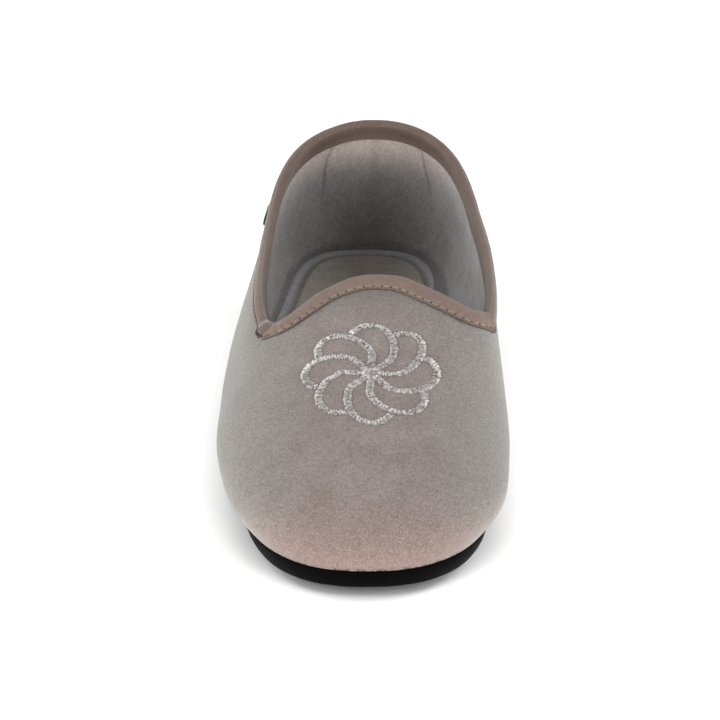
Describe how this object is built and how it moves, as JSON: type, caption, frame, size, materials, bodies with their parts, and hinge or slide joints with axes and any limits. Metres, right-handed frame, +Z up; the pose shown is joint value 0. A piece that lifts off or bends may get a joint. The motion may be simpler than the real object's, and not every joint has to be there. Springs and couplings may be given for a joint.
{
  "type": "ballerina slipper",
  "caption": "Soft slip-on house slipper with a low closed heel, bound foot opening, padded insole and a thin black rubber wedge sole",
  "frame": {"origin": "on the floor, under the middle of the slipper's box", "axes": "+Z up, toe towards -Y and heel towards +Y, medial side of this right slipper towards +X"},
  "size_m": [0.0948, 0.2478, 0.0667],
  "materials": {
    "outsole": "moulded black rubber, satin",
    "insole": "brushed grey felt",
    "upper": "short-napped taupe microfibre",
    "collar_tape": "folded taupe tape",
    "throat_tape": "folded and stitched taupe tape"
  },
  "bodies": {
    "root": {"outsole": "outsole", "insole": "insole", "upper": "upper", "collar_binding": "collar_tape", "throat_binding": "throat_tape"}
  },
  "joints": []
}
